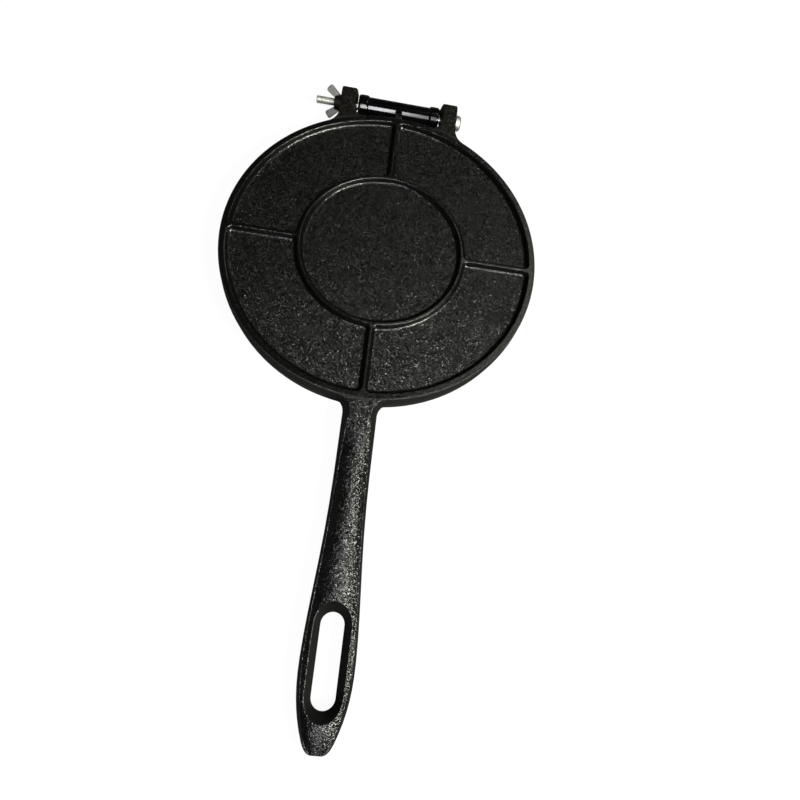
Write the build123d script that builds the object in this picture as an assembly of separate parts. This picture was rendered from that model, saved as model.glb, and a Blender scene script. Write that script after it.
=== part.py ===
from build123d import *
import os
from math import atan, cos, degrees, radians, sin, sqrt

# Cast iron egg roll pan: two hinged round plates, each with its handle cast on.
# Millimetres. X runs along the hinge, Y from the handles towards the hinge, Z up.
# The origin is under the middle of the pan's bounding box, on the surface that it lies on.
# Each casting is drawn with its parting face at Z = 0 and its outer crest up, centred on its
# plate, and is then set in place: the upper one as drawn, the lower one mirrored.

# Plates
plate_radius = 100.0  # at the parting edge
plate_height = 8.5  # parting face to outer crest, each casting
side_lean = 0.6  # the side wall leans in this far from the parting edge to the crest
parting_gap = 0.3  # between the two closed castings
rim_width = 4.0  # flat crest of the rim
pocket_depth = 3.3  # outer floors below the crest
pocket_lean = 1.5  # pocket walls lean in this far down to the floor
ring_radius = 51.5  # middle of the raised ring
ring_width = 1.7  # its crest
rib_width = 1.6  # crest of each of the four ribs
pocket_corner = 3.5  # plan radius of the pocket corners
floor_round = 1.8
crest_round = 0.8
shoulder_round = 1.0  # where the side wall turns into the crest
land_width = 6.0  # flat sealing band round the cooking face
cavity_depth = 2.1  # cooking face below the parting face
cavity_lean = 0.8
cavity_round = 0.7

# Handle. A reach is measured from the plate's edge, a setback from the handle's tip.
handle_reach = 185.3  # plate edge to tip
handle_lean = 3.4  # its side wall leans in this far over the full plate height
neck_half = 10.2
neck_flare = 8.5  # radius of the flare from the handle into the plate
mid_reach = 78.0
mid_half = 11.25
grip_setback = 48.0  # widest place of the handle
grip_half = 14.8
heel_setback = 7.4
heel_half = 9.0
heel_turn = 30.0  # degrees, how far the outline has turned towards the tip at the heel
tip_half = 2.2
ledge_width = 0.35  # the domed top sits this far inside the side band
crown_start = 1.0  # plate edge to the start of the dome's cut, which leaves the neck flat
neck_rise = 0.1  # the cut starts this far above the crest
neck_end_reach = 14.0  # the flat neck ends here and the dome begins
neck_end_drop = 0.5  # side edge below the crest there
neck_slope_reach = 27.0
dome_reach = 48.0  # full dome from here on
dome_band_rise = 0.4  # the side band is this much higher there than along the grip
band_height = 3.8  # side band along the grip
band_drop_heel = 0.4
band_drop_tip = 1.1

# How far the crown of the dome lies below the plate's crest, along the handle
crown_drop_dome = 0.05
crown_drop_mid = 0.15
crown_drop_slot_start = 0.35
crown_drop_grip = 0.6
crown_drop_slot_end = 1.2
crown_drop_heel = 3.2
crown_drop_tip = 5.6

# Hanging slot through both handles, at its narrowest at the parting face
slot_setback = 44.5  # handle tip to slot middle
slot_length = 48.0
slot_width = 12.8
slot_flare = 4.4  # the slot's walls lean out this far over slot_flare_height
slot_flare_height = 6.2
slot_round = 0.5

# Hinge
hinge_reach = 10.9  # plate edge to hinge axis
barrel_half = 27.9  # half the length of the lower plate's barrel
collar_width = 7.1
collar_radius = 7.7
waist_radius = 6.8
collar_round = 1.6
web_height = 5.5  # web that carries the barrel
web_drop = 1.6  # top of the web below the parting face
web_round = 1.2
hinge_play = 0.7  # barrel end to ear, at the parting face
ear_width = 11.4  # at the parting face
ear_inner_lean = 1.6  # the ear's inner side leans away from the barrel this far up to the crest
ear_outer_lean = 0.25
ear_outer_flare = 11.0
ear_inner_flare = 6.5
ear_round = 1.1
knuckle_back = 9.7  # end of an ear behind the hinge axis
knuckle_corner = 5.0
tab_width = 4.8  # small tab on the rim, in line with the top rib
tab_reach = 7.2
tab_foot = 2.0
tab_round = 2.3
tab_play = 1.0  # tab to barrel

# Hinge bolt, M5, and its wing nut
bolt_radius = 2.5
bolt_fit = 0.1  # radial clearance in every bore that the bolt runs in
face_fit = 0.1  # between the clamped faces
head_radius = 5.0
head_height = 3.7
head_round = 1.9
recess_width = 1.5
recess_length = 5.0
recess_depth = 2.0
bolt_beyond_ear = 16.6  # free end of the bolt past the ear
thread_length = 18.0
thread_pitch = 0.8
thread_depth = 0.45
thread_crest = 0.12
nut_base_radius = 5.4
nut_top_radius = 4.2
nut_height = 4.4
nut_round = 0.5
wing_thickness = 2.0
wing_reach = 11.0  # wing tip from the bolt axis
wing_low = 7.2  # lower corner of the tip, from the nut's base
wing_high = 10.6  # upper corner of the tip
wing_high_reach = 6.8
wing_round = 1.5
wing_edge_round = 0.5
wing_turn = 42.0  # degrees above level, how the tightened wings happen to stand

beyond = 1.0  # cutters run this far past what they cut
ridge_limit = 0.01  # an edge nearer to the parting face than this is the ridge of an ear's inner side

# Worked out from the sizes above
crest_radius = plate_radius - side_lean
grip_reach = handle_reach - grip_setback
heel_reach = handle_reach - heel_setback
slot_reach = handle_reach - slot_setback
hinge_y = plate_radius + hinge_reach
axis_z = -parting_gap / 2  # hinge axis below the upper casting's parting face
ear_inner = barrel_half + hinge_play
ear_outer = ear_inner + ear_width
tip_y = -(plate_radius + handle_reach)
back_y = hinge_y + knuckle_back
shift_y = -(tip_y + back_y) / 2
half_stack = plate_height + parting_gap / 2
bore_radius = bolt_radius + bolt_fit
pocket_taper = degrees(atan(pocket_lean / pocket_depth))


def flare_centre(radius, side, flare):
    """Centre of an arc outside a circle of that radius, touching it and the line x = side."""
    x = side + flare
    return x, sqrt((radius + flare) ** 2 - x**2)


def arc_edge(start, middle, end):
    return Edge.make_three_point_arc(start, middle, end)


def circle_edge(radius, start, end):
    """Arc about the plate's centre between two points on that circle, the short way round."""
    mid_x = start[0] + end[0]
    mid_y = start[1] + end[1]
    scale = radius / sqrt(mid_x**2 + mid_y**2)
    return arc_edge(start, (mid_x * scale, mid_y * scale), end)


def flare_edge(radius, side, flare, sign):
    """Flare arc on the +X side, its point on the circle and its point on the straight side."""
    x, y = flare_centre(radius, side, flare)
    on_circle = (x * radius / (radius + flare), sign * y * radius / (radius + flare))
    on_side = (side, sign * y)
    centre = (x, sign * y)
    toward = ((on_circle[0] + on_side[0]) / 2 - x, (on_circle[1] + on_side[1]) / 2 - sign * y)
    scale = flare / sqrt(toward[0] ** 2 + toward[1] ** 2)
    middle = (centre[0] + toward[0] * scale, centre[1] + toward[1] * scale)
    return on_circle, middle, on_side


def handle_side(inset):
    """Right side of the handle from the neck to the tip, moved in by inset."""
    neck_y = -flare_centre(plate_radius, neck_half, neck_flare)[1]
    turn = radians(heel_turn)
    return [
        (neck_half - inset, neck_y),
        (mid_half - inset, -(plate_radius + mid_reach)),
        (grip_half - inset, -(plate_radius + grip_reach)),
        (heel_half - inset * cos(turn), -(plate_radius + heel_reach) + inset * sin(turn)),
        (tip_half, tip_y + inset),
    ]


def side_edge(points):
    """Smooth side through those points, straight off the neck and square to the tip."""
    inward = -1 if points[0][0] > 0 else 1
    return Edge.make_spline(points, tangents=[(0, -1), (inward, 0)])


def half_width(reach):
    """Half width of the handle at the parting face, at a distance from the plate's edge."""
    side = side_edge(handle_side(0.0))
    y = -(plate_radius + reach)
    low, high = 0.0, 1.0
    for _ in range(40):
        middle = (low + high) / 2
        if side.position_at(middle).Y > y:
            low = middle
        else:
            high = middle
    return side.position_at(low).X


def mirrored(points):
    return [(-x, y) for x, y in points]


def casting_outline(level, with_ears):
    """Closed outline of a casting. level is 0 at the parting face and 1 at the crest."""
    radius = plate_radius - side_lean * level
    inset = handle_lean * level
    neck = flare_edge(radius, neck_half - inset, neck_flare + side_lean * level, -1)
    side = handle_side(inset)
    side[0] = neck[2]
    edges = []
    right = (radius, 0.0)
    left = (-radius, 0.0)
    if with_ears:
        inner = ear_inner + ear_inner_lean * level
        outer = ear_outer - ear_outer_lean * level
        out = flare_edge(radius, outer, ear_outer_flare + side_lean * level, 1)
        inn = ear_inner_edge(radius, inner, ear_inner_flare + side_lean * level)
        edges.append(circle_edge(radius, right, out[0]))
        edges.append(arc_edge(*out))
        edges.append(Edge.make_line(out[2], (outer, hinge_y)))
        edges.append(Edge.make_line((outer, hinge_y), (inner, hinge_y)))
        edges.append(Edge.make_line((inner, hinge_y), inn[2]))
        edges.append(arc_edge(inn[2], inn[1], inn[0]))
        top = mirrored([inn[0]])[0]
        edges.append(circle_edge(radius, inn[0], top))
        edges.append(arc_edge(*mirrored(inn)))
        edges.append(Edge.make_line((-inner, inn[2][1]), (-inner, hinge_y)))
        edges.append(Edge.make_line((-inner, hinge_y), (-outer, hinge_y)))
        edges.append(Edge.make_line((-outer, hinge_y), (-outer, out[2][1])))
        edges.append(arc_edge(*mirrored([out[2], out[1], out[0]])))
        edges.append(circle_edge(radius, mirrored([out[0]])[0], left))
    else:
        edges.append(circle_edge(radius, right, (0.0, radius)))
        edges.append(circle_edge(radius, (0.0, radius), left))
    edges.append(circle_edge(radius, left, mirrored([neck[0]])[0]))
    edges.append(arc_edge(*mirrored(neck)))
    edges.append(side_edge(mirrored(side)))
    edges.append(Edge.make_line((-side[-1][0], side[-1][1]), side[-1]))
    edges.append(side_edge(side))
    edges.append(arc_edge(neck[2], neck[1], neck[0]))
    edges.append(circle_edge(radius, neck[0], right))
    return edges


def ear_inner_edge(radius, side, flare):
    """Flare inside an ear: point on the circle, middle of the arc, point on the ear."""
    x = side - flare
    y = sqrt((radius + flare) ** 2 - x**2)
    on_circle = (x * radius / (radius + flare), y * radius / (radius + flare))
    toward = ((on_circle[0] + side) / 2 - x, (on_circle[1] + y) / 2 - y)
    scale = flare / sqrt(toward[0] ** 2 + toward[1] ** 2)
    return on_circle, (x + toward[0] * scale, y + toward[1] * scale), (side, y)


def casting_blank(with_ears):
    """Plate, neck, handle and ear arms as one leaning block."""
    foot = Wire(casting_outline(0.0, with_ears))
    crest = Wire(casting_outline(1.0, with_ears)).moved(Location((0, 0, plate_height)))
    return Solid.make_loft([foot, crest], ruled=True)


def crown_section(reach, foot_z, top_z):
    """Section across the handle: a dome on a ledge that runs out past the side bands."""
    y = -(plate_radius + reach)
    ledge = 2 * grip_half
    half = half_width(max(reach, neck_flare)) - handle_lean * foot_z / plate_height - ledge_width
    return Wire(
        [
            Edge.make_line((-ledge, y, -beyond), (ledge, y, -beyond)),
            Edge.make_line((ledge, y, -beyond), (ledge, y, foot_z)),
            Edge.make_line((ledge, y, foot_z), (half, y, foot_z)),
            arc_edge((half, y, foot_z), (0, y, top_z), (-half, y, foot_z)),
            Edge.make_line((-half, y, foot_z), (-ledge, y, foot_z)),
            Edge.make_line((-ledge, y, foot_z), (-ledge, y, -beyond)),
        ]
    )


def handle_crown():
    """Everything that the handle keeps: its dome, and all that lies below its side bands."""
    slope = (plate_height + band_height) / 2
    slot_half = slot_length / 2
    stations = [
        (crown_start, plate_height + neck_rise, plate_height + 2 * neck_rise),
        (neck_end_reach, plate_height - neck_end_drop, plate_height + neck_rise),
        (neck_slope_reach, slope, plate_height),
        (dome_reach, band_height + dome_band_rise, plate_height - crown_drop_dome),
        (mid_reach, band_height, plate_height - crown_drop_mid),
        (slot_reach - slot_half, band_height, plate_height - crown_drop_slot_start),
        (grip_reach, band_height, plate_height - crown_drop_grip),
        (slot_reach + slot_half, band_height, plate_height - crown_drop_slot_end),
        (heel_reach, band_height - band_drop_heel, plate_height - crown_drop_heel),
        (handle_reach + beyond, band_height - band_drop_tip, plate_height - crown_drop_tip),
    ]
    sections = [crown_section(*station) for station in stations]
    return Solid.make_loft(sections)


def shaped_handle(blank):
    """Blank with its handle cut to the domed crown."""
    length = handle_reach - crown_start
    block = Box(3 * grip_half, length, 2 * plate_height, align=(Align.CENTER, Align.MAX, Align.MIN))
    block = block.moved(Location((0, -(plate_radius + crown_start), 0)))
    return blank - (block - handle_crown())


def pocket_cutters():
    """Four quarter pockets and the middle one, wider at the crest than at the floor."""
    inner = ring_radius + ring_width / 2
    outer = crest_radius - rim_width
    half_rib = rib_width / 2
    quarter = Circle(outer) - Circle(inner)
    quarter = quarter & Rectangle(outer, outer, align=Align.MIN).moved(Location((half_rib, half_rib)))
    quarter = fillet(quarter.vertices(), pocket_corner)
    middle = Circle(ring_radius - ring_width / 2)
    cutters = []
    for sketch, turns in ((quarter, 4), (middle, 1)):
        cutter = extrude(sketch, amount=-pocket_depth, taper=pocket_taper)
        cutter = fillet(cutter.edges().group_by(Axis.Z)[0], floor_round)
        for turn in range(turns):
            cutters.append(cutter.moved(Location((0, 0, plate_height), (0, 0, 90 * turn))))
    return cutters


def cavity_cutter():
    """Shallow cooking face inside the sealing band."""
    radius = plate_radius - land_width
    cutter = Solid.make_cone(radius, radius - cavity_lean, cavity_depth)
    top = cutter.edges().group_by(Axis.Z)[-1]
    return cutter.fillet(cavity_round, top)


def slot_cutter():
    """Hanging slot, flaring from the parting face to the crown."""
    taper = degrees(atan(slot_flare / slot_flare_height))
    sketch = SlotOverall(slot_length, slot_width, rotation=90)
    cutter = extrude(sketch, amount=plate_height + beyond, taper=-taper)
    return cutter.moved(Location((0, -(plate_radius + slot_reach), 0)))


def along_x(solid, x, y, z):
    """A solid drawn along +Z, laid along +X with its origin at that point."""
    return solid.moved(Location((x, y, z), (0, 90, 0)))


def ear_knuckle():
    """Rounded end of the right ear, flat outside, its inner side leaning both ways off the parting face."""
    length = plate_height + knuckle_back
    profile = Rectangle(length, 2 * plate_height, align=(Align.MAX, Align.CENTER))
    profile = fillet(profile.vertices(), knuckle_corner)
    knuckle = extrude(Plane.YZ * profile, amount=ear_width)
    knuckle = knuckle.moved(Location((ear_inner, back_y, axis_z)))
    reach = plate_height + parting_gap
    section = Polyline(
        (ear_outer, 0, reach),
        (ear_inner + ear_inner_lean * reach / plate_height, 0, reach),
        (ear_inner, 0, 0),
        (ear_inner + ear_inner_lean * reach / plate_height, 0, -reach),
        (ear_outer, 0, -reach),
        close=True,
    )
    slab = extrude(make_face(section), amount=2 * length, both=True)
    knuckle = knuckle & slab.moved(Location((0, hinge_y, 0)))
    ends = [face for face in knuckle.faces() if abs(face.normal_at().X) > 0.9]
    rims = [edge for face in ends for edge in face.edges() if abs(edge.center().Z) > ridge_limit]
    return fillet(rims, ear_round)


def ears():
    """Rounded knuckles at the ends of the ear arms."""
    knuckle = ear_knuckle()
    return [knuckle, knuckle.mirror(Plane.YZ)]


def rim_tab():
    """Small rounded tab that carries the top rib past the rim."""
    end_y = crest_radius + tab_reach
    sketch = Rectangle(tab_width, tab_width + tab_reach, align=(Align.CENTER, Align.MAX))
    sketch = fillet(sketch.vertices().group_by(Axis.Y)[-1], tab_round)
    tab = extrude(sketch.moved(Location((0, end_y, tab_foot))), amount=plate_height - tab_foot)
    tab = fillet(tab.edges().group_by(Axis.Z)[-1], crest_round)
    room = Cylinder(waist_radius + tab_play, 2 * tab_width)
    return tab - along_x(room, 0, hinge_y, axis_z)


def bore(half_length):
    cutter = Cylinder(bore_radius, 2 * half_length)
    return along_x(cutter, 0, hinge_y, axis_z)


def casting(with_ears):
    """One casting as drawn, crest up."""
    blank = casting_blank(with_ears)
    top = blank.faces().sort_by(Axis.Z)[-1]
    blank = blank.fillet(shoulder_round, top.outer_wire().edges())
    solid = shaped_handle(blank)
    for cutter in pocket_cutters():
        solid = solid - cutter
    top = solid.faces().filter_by(Plane.XY).group_by(Axis.Z)[-1].sort_by(SortBy.AREA)[-1]
    pocket_edges = [edge for wire in top.inner_wires() for edge in wire.edges()]
    solid = solid.fillet(crest_round, pocket_edges)
    solid = solid - cavity_cutter()
    slot = slot_cutter()
    slotted = solid - slot
    cut_edges = new_edges(solid, slot, combined=slotted)
    mouth = [edge for edge in cut_edges if edge.bounding_box().min.Z > band_height / 2]
    return slotted.fillet(slot_round, mouth)


def upper_plate():
    solid = casting(True)
    for knuckle in ears():
        solid = solid + knuckle
    solid = solid + rim_tab()
    return solid - bore(ear_outer + beyond)


def barrel():
    """Long barrel of the lower plate, thicker in a collar at each end."""
    shaft = Cylinder(waist_radius, 2 * barrel_half)
    collar = Cylinder(collar_radius, collar_width, align=(Align.CENTER, Align.CENTER, Align.MIN))
    collar = fillet(collar.edges().filter_by(GeomType.CIRCLE), collar_round)
    solid = along_x(shaft, 0, hinge_y, axis_z)
    for x in (barrel_half - collar_width, -barrel_half):
        solid = solid + along_x(collar, x, hinge_y, axis_z)
    return solid


def barrel_web():
    """Web between the lower plate's wall and its barrel, well clear of the upper plate."""
    start = sqrt(crest_radius**2 - barrel_half**2) - rim_width
    length = hinge_y - start
    web = Box(2 * barrel_half, length, web_height, align=(Align.CENTER, Align.MIN, Align.MIN))
    web = fillet(web.edges().filter_by(Axis.Z), web_round)
    return web.moved(Location((0, start, web_drop)))


def lower_plate():
    return casting(False) + barrel_web() + barrel() - bore(barrel_half + beyond)


def bolt_profile(under_head):
    """Half section of the bolt from its free end up, closed on the axis."""
    root = bolt_radius - thread_depth
    points = [(0, 0), (root, 0)]
    turns = int(thread_length / thread_pitch)
    for turn in range(turns):
        foot = turn * thread_pitch
        points.append((bolt_radius, foot + (thread_pitch - thread_crest) / 2))
        points.append((bolt_radius, foot + (thread_pitch + thread_crest) / 2))
        points.append((root, foot + thread_pitch))
    points.append((bolt_radius, turns * thread_pitch + thread_depth))
    points.append((bolt_radius, under_head))
    points.append((head_radius, under_head))
    points.append((head_radius, under_head + head_height))
    points.append((0, under_head + head_height))
    return Polyline(*[(radius, 0, height) for radius, height in points], close=True)


def hinge_bolt():
    """Pan head bolt with a cross recess, its thread cut as rings one pitch apart."""
    end_x = -(ear_outer + bolt_beyond_ear)
    under_head = ear_outer + face_fit - end_x
    section = make_face(bolt_profile(under_head))
    solid = revolve(section, axis=Axis.Z)
    rim = solid.edges().filter_by(GeomType.CIRCLE).sort_by(Axis.Z)[-1]
    solid = fillet(rim, head_round)
    top = under_head + head_height
    slot = Box(recess_length, recess_width, recess_depth, align=(Align.CENTER, Align.CENTER, Align.MAX))
    for turn in (0, 90):
        solid = solid - slot.moved(Location((0, 0, top), (0, 0, turn)))
    return along_x(solid, end_x, hinge_y, axis_z)


def nut_wing():
    """One wing as a rounded blade, standing on the nut's base and reaching along +X."""
    outline = Polyline(
        (bolt_radius, nut_round),
        (nut_base_radius - nut_round, nut_round),
        (wing_reach, wing_low),
        (wing_high_reach, wing_high),
        (bolt_radius, nut_height - nut_round),
        close=True,
    )
    wing = make_face(outline)
    tip = [vertex for vertex in wing.vertices() if vertex.X > nut_base_radius]
    wing = fillet(tip, wing_round)
    blade = extrude(Plane.XZ * wing, amount=wing_thickness / 2, both=True)
    sides = blade.faces().filter_by(Axis.Y)
    rims = [edge for face in sides for edge in face.edges()]
    return fillet(rims, wing_edge_round)


def wing_nut():
    """Wing nut, drawn on its base and laid against the left ear."""
    hub = Cone(nut_base_radius, nut_top_radius, nut_height, align=(Align.CENTER, Align.CENTER, Align.MIN))
    solid = fillet(hub.edges().group_by(Axis.Z)[-1], nut_round)
    for side in (0, 180):
        solid = solid + nut_wing().moved(Location((0, 0, 0), (0, 0, side)))
    solid = solid - Cylinder(bore_radius, 2 * wing_high)
    solid = solid.moved(Location((0, 0, 0), (0, 0, wing_turn)))
    turned = solid.moved(Location((0, 0, 0), (0, -90, 0)))
    return turned.moved(Location((-(ear_outer + face_fit), hinge_y, axis_z)))


def set_upper(solid):
    return solid.moved(Location((0, shift_y, half_stack + parting_gap / 2)))


def set_lower(solid):
    turned = solid.mirror(Plane.XY)
    return turned.moved(Location((0, shift_y, half_stack - parting_gap / 2)))


def main():
    os.makedirs("parts", exist_ok=True)
    export_step(set_lower(lower_plate()), "parts/lower_plate.step")
    for name, build in (("upper_plate", upper_plate), ("hinge_bolt", hinge_bolt), ("wing_nut", wing_nut)):
        export_step(set_upper(build()), f"parts/{name}.step")


if __name__ == "__main__":
    main()
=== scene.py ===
"""Looks of a hinged cast iron egg roll pan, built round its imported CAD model.

Everything is in metres, in the frame of the CAD model: X runs along the hinge, Y from the
handles towards the hinge, Z up from the surface that the pan lies on.
"""

import logging
import math
from dataclasses import dataclass
from enum import Enum
from typing import Any

import bpy
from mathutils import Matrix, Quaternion, Vector

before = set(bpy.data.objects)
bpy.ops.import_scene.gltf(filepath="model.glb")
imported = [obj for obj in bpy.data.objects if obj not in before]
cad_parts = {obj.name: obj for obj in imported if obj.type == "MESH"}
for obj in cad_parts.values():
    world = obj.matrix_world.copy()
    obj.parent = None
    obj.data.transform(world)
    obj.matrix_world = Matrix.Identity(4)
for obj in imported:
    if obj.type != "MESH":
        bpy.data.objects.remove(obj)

LOG = logging.getLogger("egg_roll_pan")
MM = 0.001

Socket = bpy.types.NodeSocket
Tree = bpy.types.NodeTree
MATH = "ShaderNodeMath"
RAMP = "ShaderNodeMapRange"
MIX = "ShaderNodeMix"
VECTORS = "ShaderNodeVectorMath"
BUMP = "ShaderNodeBump"
NOISE = "ShaderNodeTexNoise"
CELLS = "ShaderNodeTexVoronoi"

WHITE = (1.0, 1.0, 1.0, 1.0)

# Points that the lamps are aimed at, in metres
HINGE = (0.0, 0.193, 0.010)
PLATE = (0.0, 0.05, 0.0)


class Node(Enum):
    """The CAD nodes, which are also the bodies of the pan."""

    LOWER = "lower_plate"
    UPPER = "upper_plate"
    BOLT = "hinge_bolt"
    NUT = "wing_nut"


def linear(colour: str) -> tuple[float, float, float, float]:
    """Turns an sRGB hex colour into linear light.

    Args:
        colour: six hex digits after a hash sign.

    Returns:
        Linear red, green, blue and an alpha of 1.
    """
    parts = [int(colour[place : place + 2], 16) / 255 for place in (1, 3, 5)]
    bright = [part / 12.92 if part <= 0.04045 else ((part + 0.055) / 1.055) ** 2.4 for part in parts]
    return bright[0], bright[1], bright[2], 1.0


def add_node(tree: Tree, kind: str, inputs: dict[Any, Any] | None = None, **settings: Any) -> bpy.types.Node:
    """Adds one node, with its settings, values and links.

    Args:
        tree: the tree that gets the node.
        kind: Blender's name for the node's type.
        inputs: what goes into each input, by its name or place: a socket to link or a value.
        settings: attributes of the node itself.

    Returns:
        The new node.
    """
    node = tree.nodes.new(kind)
    for name, value in settings.items():
        setattr(node, name, value)
    for name, value in (inputs or {}).items():
        if isinstance(value, Socket):
            tree.links.new(value, node.inputs[name])
        else:
            node.inputs[name].default_value = value
    return node


def new_material(name: str) -> tuple[bpy.types.Material, Tree]:
    """Makes a material with an empty node tree.

    Args:
        name: what the material is.

    Returns:
        The material and its tree.
    """
    material = bpy.data.materials.new(name)
    material.use_nodes = True
    material.node_tree.nodes.clear()
    return material, material.node_tree


def dress(node: Node, finish: bpy.types.Material) -> None:
    """Gives a CAD solid, which keeps its shape, its finish, and reports the piece.

    Args:
        node: the CAD node.
        finish: its material.
    """
    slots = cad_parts[node.value].data.materials
    slots.clear()
    slots.append(finish)
    LOG.info("%s in %s", node.value, finish.name)


@dataclass(frozen=True)
class PhotoCamera:
    """Camera at the photograph's viewing angle.

    Attributes:
        place: where it stands, in millimetres in the CAD frame.
        target: a point on its line of sight, in millimetres.
        roll: turn about its own line of sight, in degrees.
        focal_px: focal length in pixels of the 800 pixel frame.
        frame_px: width of that frame.
        sensor: sensor width in millimetres.
        clip: nearest and farthest that it sees, in metres.
    """

    place: tuple[float, float, float] = (-6.6, -109.19, 338.54)
    target: tuple[float, float, float] = (24.08, -8.27, -5.16)
    roll: float = 23.88
    focal_px: float = 576.8
    frame_px: float = 800.0
    sensor: float = 36.0
    clip: tuple[float, float] = (0.01, 30.0)

    def build(self) -> None:
        """Makes the camera and gives it to the scene."""
        data = bpy.data.cameras.new("camera")
        data.sensor_width = self.sensor
        data.lens = self.focal_px / self.frame_px * self.sensor
        data.clip_start, data.clip_end = self.clip
        camera = bpy.data.objects.new("camera", data)
        bpy.context.scene.collection.objects.link(camera)
        place = Vector(self.place) * MM
        sight = Vector(self.target) * MM - place
        camera.location = place
        camera.rotation_mode = "QUATERNION"
        turn = Quaternion((0.0, 0.0, 1.0), math.radians(self.roll))
        camera.rotation_quaternion = sight.to_track_quat("-Z", "Y") @ turn
        bpy.context.scene.camera = camera


@dataclass(frozen=True)
class Lamp:
    """One soft studio lamp.

    Attributes:
        name: the lamp's name.
        place: where it hangs, in metres.
        target: what it points at, in metres.
        size: its two sides, in metres.
        bright: how bright its face is, where 1 is the white of the table.
        colour: sRGB hex.
    """

    name: str
    place: tuple[float, float, float]
    target: tuple[float, float, float]
    size: tuple[float, float]
    bright: float
    colour: str

    def build(self) -> None:
        """Hangs the lamp."""
        data = bpy.data.lights.new(self.name, "AREA")
        data.shape = "RECTANGLE"
        data.size, data.size_y = self.size
        data.energy = self.bright * math.pi * self.size[0] * self.size[1]
        data.color = linear(self.colour)[:3]
        lamp = bpy.data.objects.new(self.name, data)
        bpy.context.scene.collection.objects.link(lamp)
        lamp.location = self.place
        lamp.rotation_mode = "QUATERNION"
        lamp.rotation_quaternion = (Vector(self.target) - Vector(self.place)).to_track_quat("-Z", "Y")


@dataclass(frozen=True)
class Studio:
    """White table in a dim room, lit by a window, a tall light behind the camera and a soft one above.

    Attributes:
        table_side: side of the table, in metres.
        table_colour: sRGB hex of the matte board, which throws little light up at the iron.
        camera_glow: light that the board adds where the camera sees it, so that it is white.
        mirror_glow: the same where a shiny piece mirrors it. It is off, because with it the sides
            of the black iron render lighter than they are.
        room_light: how bright the room above the table is.
        backdrop_rise: the backdrop ends at this sine of the height above the horizon.
        lamps: the lamps.
    """

    table_side: float = 12.0
    table_colour: str = "#464646"
    camera_glow: float = 0.95
    mirror_glow: float = 0.0
    room_light: float = 0.02
    backdrop_rise: float = 0.03
    lamps: tuple[Lamp, ...] = (
        Lamp("window", (0.64, -0.38, 0.72), PLATE, (0.24, 0.24), 100.0, "#fbfff0"),
        Lamp("tall_light", (-0.035, -0.55, 1.08), HINGE, (0.11, 0.75), 24.0, "#fbfbff"),
        Lamp("tall_light_end", (0.07, -0.55, 1.08), HINGE, (0.10, 0.75), 6.0, "#fbfbff"),
        Lamp("overhead", (0.40, 0.55, 1.05), PLATE, (0.45, 0.45), 2.5, "#f6ffee"),
    )

    def table(self) -> None:
        """Makes the table top."""
        half = self.table_side / 2
        mesh = bpy.data.meshes.new("table")
        corners = [(-half, -half, 0.0), (half, -half, 0.0), (half, half, 0.0), (-half, half, 0.0)]
        mesh.from_pydata(corners, [], [(0, 1, 2, 3)])
        table = bpy.data.objects.new("table", mesh)
        bpy.context.scene.collection.objects.link(table)
        mesh.materials.append(self.table_finish())

    def table_finish(self) -> bpy.types.Material:
        """Makes the matte board, which the camera sees as white.

        Returns:
            The board's material.
        """
        material, tree = new_material("white_table")
        board = add_node(tree, "ShaderNodeBsdfDiffuse", {"Color": linear(self.table_colour)})
        light = add_node(tree, "ShaderNodeLightPath").outputs
        seen = {0: light["Is Camera Ray"], 1: light["Is Transmission Ray"]}
        seen = add_node(tree, MATH, seen, operation="MAXIMUM").outputs[0]
        glow = add_node(tree, MATH, {0: seen, 1: self.camera_glow}, operation="MULTIPLY").outputs[0]
        glow = {0: light["Is Glossy Ray"], 1: self.mirror_glow, 2: glow}
        glow = add_node(tree, MATH, glow, operation="MULTIPLY_ADD").outputs[0]
        shine = add_node(tree, "ShaderNodeEmission", {"Color": WHITE, "Strength": glow})
        both = add_node(tree, "ShaderNodeAddShader", {0: board.outputs[0], 1: shine.outputs[0]})
        add_node(tree, "ShaderNodeOutputMaterial", {"Surface": both.outputs[0]})
        return material

    def room(self) -> None:
        """Makes the dim room above a white backdrop, which the camera sees as white all round."""
        world = bpy.data.worlds.new("room")
        bpy.context.scene.world = world
        world.use_nodes = True
        tree = world.node_tree
        tree.nodes.clear()
        way = add_node(tree, "ShaderNodeTexCoord")
        rise = add_node(tree, "ShaderNodeSeparateXYZ", {0: way.outputs["Generated"]}).outputs["Z"]
        low = add_node(tree, MATH, {0: rise, 1: self.backdrop_rise}, operation="LESS_THAN").outputs[0]
        light = add_node(tree, "ShaderNodeLightPath").outputs
        mirrored = add_node(tree, MATH, {0: light["Is Glossy Ray"], 1: low}, operation="MULTIPLY").outputs[0]
        seen = {0: light["Is Camera Ray"], 1: light["Is Transmission Ray"]}
        seen = add_node(tree, MATH, seen, operation="MAXIMUM").outputs[0]
        seen = add_node(tree, MATH, {0: seen, 1: mirrored}, operation="MAXIMUM").outputs[0]
        dim = add_node(tree, "ShaderNodeBackground", {"Color": WHITE, "Strength": self.room_light})
        full = add_node(tree, "ShaderNodeBackground", {"Color": WHITE, "Strength": 1.0})
        both = add_node(tree, "ShaderNodeMixShader", {0: seen, 1: dim.outputs[0], 2: full.outputs[0]})
        add_node(tree, "ShaderNodeOutputWorld", {"Surface": both.outputs[0]})

    def build(self) -> None:
        """Sets up the table, the room and the lamps."""
        bpy.context.scene.view_settings.view_transform = "Standard"
        self.table()
        self.room()
        for lamp in self.lamps:
            lamp.build()


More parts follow.
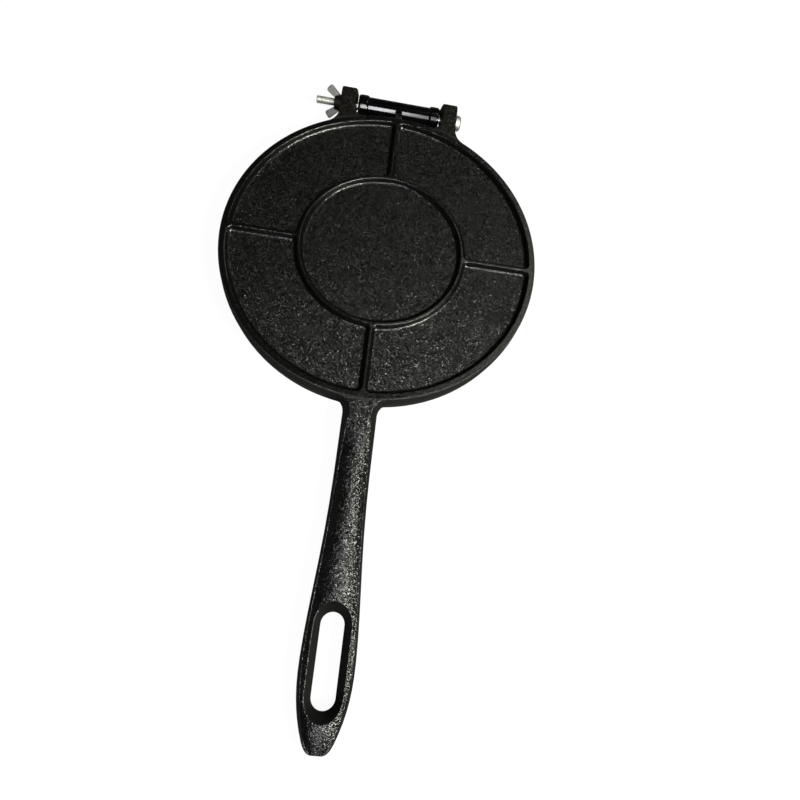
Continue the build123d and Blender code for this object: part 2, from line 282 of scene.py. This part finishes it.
@dataclass(frozen=True)
class CastingPlan:
    """Where the finishes of the castings meet, in millimetres from the plate's centre.

    A pair is a soft edge: the mask is 0 at its first value and 1 at its second. Where the pair is
    for a normal, 0 is a normal that lies level and 1 is one that points straight up or down.

    Attributes:
        centre_y: the plate's centre along Y, in the CAD frame.
        parting: height of the joint between the two plates, in the CAD frame.
        upright: normal of a side wall.
        wall_radius: a plate's side wall lies outside this radius.
        edge_radius: all of a plate lies inside this radius.
        handle_y: the handle starts here.
        band_end: the ground side band ends here, before the ears.
        neck: the band comes up along the neck between these.
        plate_band: its top on a plate, above the parting face.
        handle_band: its top on a handle.
        crest_radius: the rim's crest lies inside this radius, and the shoulder with the painted crease shade
            outside it.
        ridge_foot: the rim, ring and ribs rise from the floors at this height.
        level: normal of a cooking face.
        face_height: the cooking faces lie within this height of the parting face.
        barrel_y: the barrel starts here.
        barrel_half: half the barrel's length.
        ears_start: the ears start here.
        ears_side: their inner sides, from the middle.
        slot_y: middle of the hanging slot.
        slot_long: the slot's walls lie within this of its middle, along the handle.
        slot_wide: the same across it.
        slot_lean: normal of its leaning walls.
        tip: the handle's end starts here.
    """

    centre_y: float = 82.35
    parting: float = 8.65
    upright: tuple[float, float] = (0.40, 0.34)
    wall_radius: float = 98.3
    edge_radius: float = 100.3
    handle_y: float = -97.0
    band_end: tuple[float, float] = (98.0, 92.0)
    neck: tuple[float, float] = (-128.0, -100.0)
    plate_band: float = 6.9
    handle_band: float = 4.1
    crest_radius: float = 98.6
    ridge_foot: tuple[float, float] = (5.4, 5.65)
    level: tuple[float, float] = (0.6, 0.7)
    face_height: float = 2.3
    barrel_y: float = 103.0
    barrel_half: float = 28.2
    ears_start: tuple[float, float] = (89.0, 97.0)
    ears_side: tuple[float, float] = (20.0, 24.0)
    slot_y: float = -240.8
    slot_long: float = 28.5
    slot_wide: float = 10.9
    slot_lean: tuple[float, float] = (0.8, 0.7)
    tip: tuple[float, float] = (-263.0, -271.0)


@dataclass(frozen=True)
class Regions:
    """Masks of the differently finished parts of a casting, each from 0 to 1.

    Attributes:
        place: position in the CAD frame, in metres.
        radius: distance from the plate's centre, in millimetres.
        band: the ground side band.
        painted_crease_shade: the shoulder above it, where shade is painted as a darker colour.
        face: the cooking face and the handles' flat inner sides.
        barrel: the painted barrel.
        ears: the ears, where the seasoning has gone brown.
        slot: the walls of the hanging slot.
        ridges: the rim, ring and ribs, rubbed smoother than the floors between them.
        handle: the handle and its neck.
        tip: the handle's end, beyond the slot.
        cast: all that is as cast.
    """

    place: Socket
    radius: Socket
    band: Socket
    painted_crease_shade: Socket
    face: Socket
    barrel: Socket
    ears: Socket
    slot: Socket
    ridges: Socket
    handle: Socket
    tip: Socket
    cast: Socket


class CastingMap:
    """Works out, in the iron's node tree, which finish each point of a casting has."""

    def __init__(self, tree: Tree, plan: CastingPlan) -> None:
        """Measures each point, in millimetres from the plate's centre.

        Args:
            tree: the iron's node tree.
            plan: where the finishes meet.
        """
        self.tree = tree
        self.plan = plan
        where = add_node(tree, "ShaderNodeTexCoord").outputs
        self.place = where["Object"]
        parts = add_node(tree, "ShaderNodeSeparateXYZ", {0: self.place}).outputs
        facing = add_node(tree, "ShaderNodeSeparateXYZ", {0: where["Normal"]}).outputs["Z"]
        x = add_node(tree, MATH, {0: parts["X"], 1: 1 / MM}, operation="MULTIPLY").outputs[0]
        y = {0: parts["Y"], 1: 1 / MM, 2: -plan.centre_y}
        rise = {0: parts["Z"], 1: 1 / MM, 2: -plan.parting}
        self.x = add_node(tree, MATH, {0: x}, operation="ABSOLUTE").outputs[0]
        self.y = add_node(tree, MATH, y, operation="MULTIPLY_ADD").outputs[0]
        self.rise = add_node(tree, MATH, rise, operation="MULTIPLY_ADD").outputs[0]
        self.height = add_node(tree, MATH, {0: self.rise}, operation="ABSOLUTE").outputs[0]
        self.flat = add_node(tree, MATH, {0: facing}, operation="ABSOLUTE").outputs[0]
        flank = add_node(tree, "ShaderNodeCombineXYZ", {0: self.x, 1: self.y}).outputs[0]
        self.radius = add_node(tree, VECTORS, {0: flank}, operation="LENGTH").outputs["Value"]

    def handle(self) -> Socket:
        """Masks the handle and its neck."""
        return add_node(self.tree, MATH, {0: self.y, 1: self.plan.handle_y}, operation="LESS_THAN").outputs[0]

    def before_ears(self) -> Socket:
        """Masks all that lies before the ears."""
        ramp = {"Value": self.y, "From Min": self.plan.band_end[0], "From Max": self.plan.band_end[1]}
        return add_node(self.tree, RAMP, ramp, interpolation_type="SMOOTHSTEP").outputs[0]

    def slot(self) -> Socket:
        """Masks the leaning walls of the hanging slot.

        Returns:
            The mask.
        """
        tree, plan = self.tree, self.plan
        along = {0: self.y, 1: plan.slot_y, 2: plan.slot_long}
        along = add_node(tree, MATH, along, operation="COMPARE").outputs[0]
        across = add_node(tree, MATH, {0: self.x, 1: plan.slot_wide}, operation="LESS_THAN").outputs[0]
        inside = add_node(tree, MATH, {0: along, 1: across}, operation="MULTIPLY").outputs[0]
        leaning = {"Value": self.flat, "From Min": plan.slot_lean[0], "From Max": plan.slot_lean[1]}
        leaning = add_node(tree, RAMP, leaning, interpolation_type="SMOOTHSTEP").outputs[0]
        return add_node(tree, MATH, {0: inside, 1: leaning}, operation="MULTIPLY").outputs[0]

    def band(self, slot: Socket) -> Socket:
        """Masks the ground band along the sides of the upper plate and its handle.

        Args:
            slot: the mask of the slot's walls, which have no band.

        Returns:
            The mask.
        """
        tree, plan = self.tree, self.plan
        upright = {"Value": self.flat, "From Min": plan.upright[0], "From Max": plan.upright[1]}
        upright = add_node(tree, RAMP, upright, interpolation_type="SMOOTHSTEP").outputs[0]
        outside = {0: self.radius, 1: plan.wall_radius}
        outside = add_node(tree, MATH, outside, operation="GREATER_THAN").outputs[0]
        outside = add_node(tree, MATH, {0: outside, 1: self.handle()}, operation="MAXIMUM").outputs[0]
        upper = add_node(tree, MATH, {0: self.rise, 1: 0.0}, operation="GREATER_THAN").outputs[0]
        top = {"Value": self.y, "From Min": plan.neck[0], "From Max": plan.neck[1]}
        top = {**top, "To Min": plan.handle_band, "To Max": plan.plate_band}
        top = add_node(tree, RAMP, top).outputs[0]
        below = add_node(tree, MATH, {0: self.height, 1: top}, operation="LESS_THAN").outputs[0]
        band = add_node(tree, MATH, {0: upright, 1: outside}, operation="MULTIPLY").outputs[0]
        for limit in (self.before_ears(), upper, below):
            band = add_node(tree, MATH, {0: band, 1: limit}, operation="MULTIPLY").outputs[0]
        return add_node(tree, MATH, {0: band, 1: slot}, operation="SUBTRACT", use_clamp=True).outputs[0]

    def painted_crease_shade(self) -> Socket:
        """Masks the shoulder between the side band and the rim's crest, where shade is painted as a darker
        colour.

        Returns:
            The mask.
        """
        tree, plan = self.tree, self.plan
        outside = {0: self.radius, 1: plan.crest_radius}
        outside = add_node(tree, MATH, outside, operation="GREATER_THAN").outputs[0]
        above = {0: self.height, 1: plan.plate_band}
        above = add_node(tree, MATH, above, operation="GREATER_THAN").outputs[0]
        painted_crease_shade = add_node(tree, MATH, {0: outside, 1: above}, operation="MULTIPLY").outputs[0]
        for limit in (self.within_plate(), self.before_ears()):
            painted_crease_shade = add_node(tree, MATH, {0: painted_crease_shade, 1: limit}, operation="MULTIPLY").outputs[0]
        return painted_crease_shade

    def within_plate(self) -> Socket:
        """Masks all that lies within a plate's edge."""
        limit = {0: self.radius, 1: self.plan.edge_radius}
        return add_node(self.tree, MATH, limit, operation="LESS_THAN").outputs[0]

    def ridges(self) -> Socket:
        """Masks the rim, ring and ribs.

        Returns:
            The mask.
        """
        tree, plan = self.tree, self.plan
        raised = {"Value": self.height, "From Min": plan.ridge_foot[0], "From Max": plan.ridge_foot[1]}
        raised = add_node(tree, RAMP, raised, interpolation_type="SMOOTHSTEP").outputs[0]
        inside = {0: self.radius, 1: plan.crest_radius}
        inside = add_node(tree, MATH, inside, operation="LESS_THAN").outputs[0]
        return add_node(tree, MATH, {0: raised, 1: inside}, operation="MULTIPLY").outputs[0]

    def face(self) -> Socket:
        """Masks the cooking face and the handles' flat inner sides.

        Returns:
            The mask.
        """
        tree, plan = self.tree, self.plan
        level = {"Value": self.flat, "From Min": plan.level[0], "From Max": plan.level[1]}
        level = add_node(tree, RAMP, level, interpolation_type="SMOOTHSTEP").outputs[0]
        inner = add_node(tree, MATH, {0: self.height, 1: plan.face_height}, operation="LESS_THAN").outputs[0]
        face = add_node(tree, MATH, {0: level, 1: inner}, operation="MULTIPLY").outputs[0]
        within = {0: self.within_plate(), 1: self.handle()}
        within = add_node(tree, MATH, within, operation="MAXIMUM").outputs[0]
        return add_node(tree, MATH, {0: face, 1: within}, operation="MULTIPLY").outputs[0]

    def barrel(self) -> Socket:
        """Masks the barrel.

        Returns:
            The mask.
        """
        tree, plan = self.tree, self.plan
        behind = add_node(tree, MATH, {0: self.y, 1: plan.barrel_y}, operation="GREATER_THAN").outputs[0]
        between = add_node(tree, MATH, {0: self.x, 1: plan.barrel_half}, operation="LESS_THAN").outputs[0]
        return add_node(tree, MATH, {0: behind, 1: between}, operation="MULTIPLY").outputs[0]

    def ears(self, barrel: Socket) -> Socket:
        """Masks the ears.

        Args:
            barrel: the barrel's mask, which is left out.

        Returns:
            The mask.
        """
        tree, plan = self.tree, self.plan
        behind = {"Value": self.y, "From Min": plan.ears_start[0], "From Max": plan.ears_start[1]}
        behind = add_node(tree, RAMP, behind, interpolation_type="SMOOTHSTEP").outputs[0]
        apart = {"Value": self.x, "From Min": plan.ears_side[0], "From Max": plan.ears_side[1]}
        apart = add_node(tree, RAMP, apart, interpolation_type="SMOOTHSTEP").outputs[0]
        ears = add_node(tree, MATH, {0: behind, 1: apart}, operation="MULTIPLY").outputs[0]
        return add_node(tree, MATH, {0: ears, 1: barrel}, operation="SUBTRACT", use_clamp=True).outputs[0]

    def tip(self) -> Socket:
        """Masks the handle's end."""
        ramp = {"Value": self.y, "From Min": self.plan.tip[0], "From Max": self.plan.tip[1]}
        return add_node(self.tree, RAMP, ramp, interpolation_type="SMOOTHSTEP").outputs[0]

    def regions(self) -> Regions:
        """Makes all the masks.

        Returns:
            The masks.
        """
        slot = self.slot()
        band = self.band(slot)
        face = self.face()
        barrel = self.barrel()
        machined = band
        for other in (face, barrel, slot):
            machined = add_node(self.tree, MATH, {0: machined, 1: other}, operation="MAXIMUM").outputs[0]
        cast = add_node(self.tree, MATH, {0: 1.0, 1: machined}, operation="SUBTRACT").outputs[0]
        return Regions(
            place=self.place,
            radius=self.radius,
            band=band,
            painted_crease_shade=self.painted_crease_shade(),
            face=face,
            barrel=barrel,
            ears=self.ears(barrel),
            slot=slot,
            ridges=self.ridges(),
            handle=self.handle(),
            tip=self.tip(),
            cast=cast,
        )


@dataclass(frozen=True)
class Unevenness:
    """One scale of unevenness in a surface.

    Attributes:
        wide: its width, in millimetres.
        deep: how deep it is, in millimetres.
        detail: how many finer scales of noise lie on it.
    """

    wide: float
    deep: float
    detail: float = 0.0


@dataclass(frozen=True)
class Skin:
    """Colour and roughness of one region of a casting.

    Attributes:
        colour: sRGB hex.
        roughness: the shader's roughness.
    """

    colour: str
    roughness: float


@dataclass(frozen=True)
class SeasonedCastIron:
    """Grey iron cast in sand and seasoned black with baked oil.

    The sand leaves a leathery grain all over the cast faces, a little under a millimetre across,
    and the single grains leave small facets that sparkle. The baked oil makes the iron black with
    a low sheen. The rim, ring and ribs are rubbed smoother, so that the light draws thin lines
    along their edges. The side bands were ground smooth where the two castings were matched, the
    cooking faces were turned, which left fine rings, and the barrel was turned and painted glossy
    black.

    Attributes:
        plan: where the finishes meet.
        name: the material's name.
        oil: colour of the seasoned surface.
        worn: colour on the tops of the grain.
        ears: brown seasoning on the ears.
        band: ground side bands.
        painted_crease_shade: painted shade on the shoulder above the side band, darker than the oil.
        slot: walls of the hanging slot, coloured darker than the oil as painted shade in the recess.
        face: turned cooking faces.
        barrel: the barrel's paint.
        grain: cells of the sand grain.
        grain_round: how round the grain's cells are.
        fine: the finer roughness on the grain.
        swell: the castings' slow waves.
        rings: the turned rings, whose width is the distance between two of them.
        facet_mm: width of the facets. Moulding sand is finer, so they are drawn about as coarse as
            a pixel of the photograph, which is as fine as they can show.
        facet_tilt: how far the facets tilt, as a slope.
        handle_tilt: the same on the handles, which were cast in coarser sand.
        rubbed: share of the grain that is rubbed off the rim, ring and ribs.
        tip_rubbed: the same at the handles' ends.
        patch_mm: width of the patches with more and less oil.
        patch_detail: how many finer scales lie on them.
        patch_edge: the noise goes from oily to dry between these.
        oily: roughness of the oiliest patches.
        dry: roughness of the driest patches.
        ridge_roughness: roughness of the rim, ring and ribs.
        tip_roughness: roughness of the handles' ends, which hands keep oiled.
        specular: the shader's specular level.
    """

    plan: CastingPlan
    name: str = "seasoned_cast_iron"
    oil: str = "#040404"
    worn: str = "#080807"
    ears: Skin = Skin("#080502", 0.34)
    band: Skin = Skin("#0a0b0a", 0.5)
    # Painted shade: the shoulder above the side band is coloured darker than the oil, so that it reads as a
    # dark line.
    painted_crease_shade: Skin = Skin("#030303", 0.6)
    # Painted shade: the slot's walls are coloured darker than the oil to stand in for the shade in the
    # recess.
    slot: Skin = Skin("#030303", 0.48)
    face: Skin = Skin("#0a0b0a", 0.6)
    barrel: Skin = Skin("#030303", 0.14)
    grain: Unevenness = Unevenness(0.75, 0.17)
    grain_round: float = 0.4
    fine: Unevenness = Unevenness(0.38, 0.05, 3.0)
    swell: Unevenness = Unevenness(3.6, 0.13, 2.0)
    rings: Unevenness = Unevenness(0.6, 0.006)
    facet_mm: float = 0.55
    facet_tilt: float = 0.55
    handle_tilt: float = 0.58
    rubbed: float = 0.65
    tip_rubbed: float = 0.6
    patch_mm: float = 9.0
    patch_detail: float = 4.0
    patch_edge: tuple[float, float] = (0.35, 0.65)
    oily: float = 0.25
    dry: float = 0.31
    ridge_roughness: float = 0.22
    tip_roughness: float = 0.22
    specular: float = 0.5

    def skins(self, on: Regions) -> tuple[tuple[Socket, Skin], ...]:
        """Pairs each region's mask with its skin, in the order in which they cover each other.

        Args:
            on: the masks.

        Returns:
            The pairs.
        """
        return (
            (on.ears, self.ears),
            (on.band, self.band),
            (on.painted_crease_shade, self.painted_crease_shade),
            (on.slot, self.slot),
            (on.face, self.face),
            (on.barrel, self.barrel),
        )

    def rough_grain(self, tree: Tree, on: Regions) -> Socket:
        """Works out how much of the sand grain is left, which is less on the rim, ring and ribs."""
        left = {0: on.ridges, 1: -self.rubbed, 2: on.cast}
        return add_node(tree, MATH, left, operation="MULTIPLY_ADD").outputs[0]

    def relief(self, tree: Tree, on: Regions, fine: Socket) -> Socket:
        """Bends the normal to the slow waves, the sand grain, its fine roughness and the turned rings.

        Args:
            tree: the material's tree.
            on: the masks.
            fine: the finer roughness, from 0 to 1.

        Returns:
            The normal.
        """
        swell = {"Vector": on.place, "Scale": 1 / (self.swell.wide * MM), "Detail": self.swell.detail}
        swell = add_node(tree, NOISE, swell).outputs["Fac"]
        grain = {"Vector": on.place, "Scale": 1 / (self.grain.wide * MM), "Smoothness": self.grain_round}
        grain = add_node(tree, CELLS, grain, feature="SMOOTH_F1").outputs["Distance"]
        turn = {0: on.radius, 1: 2 * math.pi / self.rings.wide}
        turn = add_node(tree, MATH, turn, operation="MULTIPLY").outputs[0]
        rings = add_node(tree, MATH, {0: turn}, operation="SINE").outputs[0]
        layers = (
            (swell, self.swell, on.cast),
            (grain, self.grain, self.rough_grain(tree, on)),
            (fine, self.fine, on.cast),
            (rings, self.rings, on.face),
        )
        bump: dict[str, Any] = {}
        for height, scale, mask in layers:
            bump = {**bump, "Height": height, "Distance": scale.deep * MM, "Strength": mask}
            bump = {"Normal": add_node(tree, BUMP, bump).outputs[0]}
        return bump["Normal"]

    def sparkle(self, tree: Tree, on: Regions, normal: Socket) -> Socket:
        """Tilts the normal at random on each facet of the sand grain.

        Args:
            tree: the material's tree.
            on: the masks.
            normal: the normal of the relief.

        Returns:
            The tilted normal.
        """
        facets = {"Vector": on.place, "Scale": 1 / (self.facet_mm * MM)}
        facets = add_node(tree, CELLS, facets).outputs["Color"]
        # The cells' random colours lie between 0 and 1, and half is taken off so that they tilt either way
        tilt = add_node(tree, VECTORS, {0: facets, 1: (-0.5, -0.5, -0.5)}, operation="ADD").outputs[0]
        share = {0: self.rough_grain(tree, on), 1: self.facet_tilt}
        share = add_node(tree, MATH, share, operation="MULTIPLY").outputs[0]
        for mask, more in ((on.handle, self.handle_tilt / self.facet_tilt - 1), (on.tip, -self.tip_rubbed)):
            change = add_node(tree, MATH, {0: mask, 1: more, 2: 1.0}, operation="MULTIPLY_ADD").outputs[0]
            share = add_node(tree, MATH, {0: share, 1: change}, operation="MULTIPLY").outputs[0]
        tilt = add_node(tree, VECTORS, {0: tilt, "Scale": share}, operation="SCALE").outputs[0]
        normal = add_node(tree, VECTORS, {0: normal, 1: tilt}, operation="ADD").outputs[0]
        return add_node(tree, VECTORS, {0: normal}, operation="NORMALIZE").outputs[0]

    def colour(self, tree: Tree, on: Regions, fine: Socket) -> Socket:
        """Colours each region.

        Args:
            tree: the material's tree.
            on: the masks.
            fine: the finer roughness, from 0 to 1.

        Returns:
            The colour.
        """
        colour = {0: fine, 6: linear(self.oil), 7: linear(self.worn)}
        colour = add_node(tree, MIX, colour, data_type="RGBA").outputs[2]
        for mask, skin in self.skins(on):
            colour = {0: mask, 6: colour, 7: linear(skin.colour)}
            colour = add_node(tree, MIX, colour, data_type="RGBA").outputs[2]
        return colour

    def roughness(self, tree: Tree, on: Regions) -> Socket:
        """Gives the oily and dry patches, and then each region, its roughness.

        Args:
            tree: the material's tree.
            on: the masks.

        Returns:
            The roughness.
        """
        patches = {"Vector": on.place, "Scale": 1 / (self.patch_mm * MM), "Detail": self.patch_detail}
        patches = add_node(tree, NOISE, patches).outputs["Fac"]
        rough = {"Value": patches, "From Min": self.patch_edge[0], "From Max": self.patch_edge[1]}
        rough = {**rough, "To Min": self.oily, "To Max": self.dry}
        rough = add_node(tree, RAMP, rough, interpolation_type="SMOOTHSTEP").outputs[0]
        layers = [(on.ridges, self.ridge_roughness), (on.tip, self.tip_roughness)]
        layers += [(mask, skin.roughness) for mask, skin in self.skins(on)]
        for mask, over in layers:
            rough = add_node(tree, MIX, {0: mask, 2: rough, 3: over}).outputs[0]
        return rough

    def material(self) -> bpy.types.Material:
        """Builds the material.

        Returns:
            The material.
        """
        material, tree = new_material(self.name)
        on = CastingMap(tree, self.plan).regions()
        fine = {"Vector": on.place, "Scale": 1 / (self.fine.wide * MM), "Detail": self.fine.detail}
        fine = add_node(tree, NOISE, fine).outputs["Fac"]
        inputs = {
            "Base Color": self.colour(tree, on, fine),
            "Roughness": self.roughness(tree, on),
            "Specular IOR Level": self.specular,
            "Normal": self.sparkle(tree, on, self.relief(tree, on, fine)),
        }
        skin = add_node(tree, "ShaderNodeBsdfPrincipled", inputs)
        add_node(tree, "ShaderNodeOutputMaterial", {"Surface": skin.outputs[0]})
        return material


@dataclass(frozen=True)
class ZincPlatedSteel:
    """Steel with a thin bright coat of zinc, a little dulled by handling.

    The electroplated coat is pale grey and follows the steel, so that it shows a soft mirror of
    the room, broken up by fine unevenness.

    Attributes:
        name: the material's name.
        colour: what the zinc reflects.
        roughness: the coat is bright but not polished.
        crystals: the coat's fine unevenness.
    """

    name: str
    colour: str
    roughness: float
    crystals: Unevenness = Unevenness(0.5, 0.02, 4.0)

    def material(self) -> bpy.types.Material:
        """Builds the material.

        Returns:
            The material.
        """
        material, tree = new_material(self.name)
        place = add_node(tree, "ShaderNodeTexCoord").outputs["Object"]
        mottle = {"Vector": place, "Scale": 1 / (self.crystals.wide * MM), "Detail": self.crystals.detail}
        mottle = add_node(tree, NOISE, mottle).outputs["Fac"]
        bump = {"Height": mottle, "Distance": self.crystals.deep * MM, "Strength": 1.0}
        inputs = {
            "Base Color": linear(self.colour),
            "Metallic": 1.0,
            "Roughness": self.roughness,
            "Normal": add_node(tree, BUMP, bump).outputs[0],
        }
        skin = add_node(tree, "ShaderNodeBsdfPrincipled", inputs)
        add_node(tree, "ShaderNodeOutputMaterial", {"Surface": skin.outputs[0]})
        return material


@dataclass(frozen=True)
class PlatePair:
    """The two iron castings, each a plate with its handle, and with the ears or the barrel.

    Attributes:
        plan: where the finishes of a casting meet.
    """

    plan: CastingPlan = CastingPlan()

    def build(self) -> None:
        """Dresses the lower and the upper plate in the same iron."""
        iron = SeasonedCastIron(self.plan).material()
        dress(Node.LOWER, iron)
        dress(Node.UPPER, iron)


@dataclass(frozen=True)
class HingeFastening:
    """The hinge bolt and its wing nut.

    Attributes:
        bolt_zinc: the bolt's coat, whose thread scatters the light.
        nut_zinc: the wing nut's coat, dulled where fingers turn it.
    """

    bolt_zinc: ZincPlatedSteel = ZincPlatedSteel("zinc_plated_bolt", "#dadad8", 0.5)
    nut_zinc: ZincPlatedSteel = ZincPlatedSteel("zinc_plated_nut", "#66645f", 0.34)

    def build(self) -> None:
        """Dresses the bolt and the nut."""
        dress(Node.BOLT, self.bolt_zinc.material())
        dress(Node.NUT, self.nut_zinc.material())


def main() -> None:
    """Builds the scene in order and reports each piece."""
    logging.basicConfig(level=logging.INFO, format="%(name)s: %(message)s")
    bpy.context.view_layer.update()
    PhotoCamera().build()
    Studio().build()
    PlatePair().build()
    HingeFastening().build()


if __name__ == "__main__":
    main()
